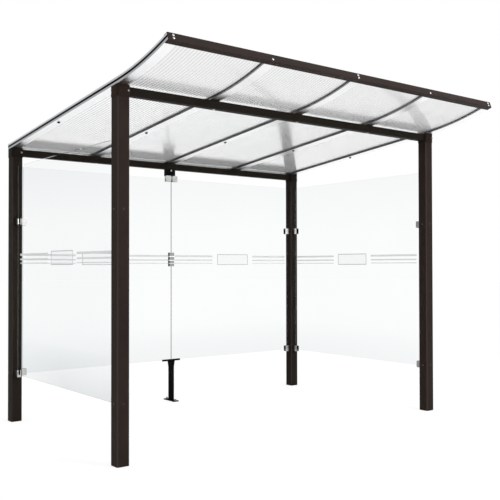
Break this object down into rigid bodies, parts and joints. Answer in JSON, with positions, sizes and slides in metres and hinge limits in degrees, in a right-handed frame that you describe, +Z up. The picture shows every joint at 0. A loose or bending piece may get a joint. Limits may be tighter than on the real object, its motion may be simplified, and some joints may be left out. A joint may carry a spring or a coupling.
{
  "type": "bicycle shelter",
  "caption": "Open-fronted bicycle shelter: brown steel posts and beams, clamped glass panes on the sides and back, and a light sheet roof that sweeps up at the front.",
  "frame": {"origin": "middle of the overall box, on the ground", "axes": "+X along the open front to the right, +Y from the front to the glass back, +Z up"},
  "size_m": [2.78, 2.2686, 2.3314],
  "materials": {
    "brown_paint": "semi-gloss dark brown powder coat",
    "black_paint": "semi-gloss black powder coat",
    "rafter_aluminium": "satin anodised",
    "strip_aluminium": "satin anodised",
    "black_rubber": "matt",
    "fluted_sheet": "glossy, with fine flutes along the slope",
    "pane_glass": "clear, polished",
    "clamp_metal": "satin"
  },
  "bodies": {
    "root": {"front_left_post": "brown_paint", "front_right_post": "brown_paint", "rear_left_post": "brown_paint", "rear_right_post": "brown_paint", "front_left_cap": "brown_paint", "front_right_cap": "brown_paint", "rear_left_cap": "brown_paint", "rear_right_cap": "brown_paint", "front_beam": "brown_paint", "rear_beam": "brown_paint", "front_rafter_seats": "rafter_aluminium", "rear_rafter_seats": "rafter_aluminium", "rafter_1": "rafter_aluminium", "rafter_2": "rafter_aluminium", "rafter_3": "rafter_aluminium", "rafter_4": "rafter_aluminium", "rafter_5": "rafter_aluminium", "rafter_gaskets": "black_rubber", "roof_sheet_1": "fluted_sheet", "roof_sheet_2": "fluted_sheet", "roof_sheet_3": "fluted_sheet", "roof_sheet_4": "fluted_sheet", "cover_strip_1": "strip_aluminium", "cover_strip_2": "strip_aluminium", "cover_strip_3": "strip_aluminium", "cover_strip_4": "strip_aluminium", "cover_strip_5": "strip_aluminium", "front_fascia": "brown_paint", "rear_edge_trim": "strip_aluminium", "left_pane": "pane_glass", "right_pane": "pane_glass", "rear_left_pane": "pane_glass", "rear_right_pane": "pane_glass", "front_left_clamps": "clamp_metal", "front_right_clamps": "clamp_metal", "rear_left_clamps": "clamp_metal", "rear_right_clamps": "clamp_metal", "clamp_pads": "black_rubber", "pane_hanger": "black_paint", "hanger_clamps": "clamp_metal", "pane_joint_clamp": "clamp_metal", "pane_channel": "black_paint", "channel_pads": "black_rubber", "support_tube": "black_paint", "support_base": "black_paint"}
  },
  "joints": []
}
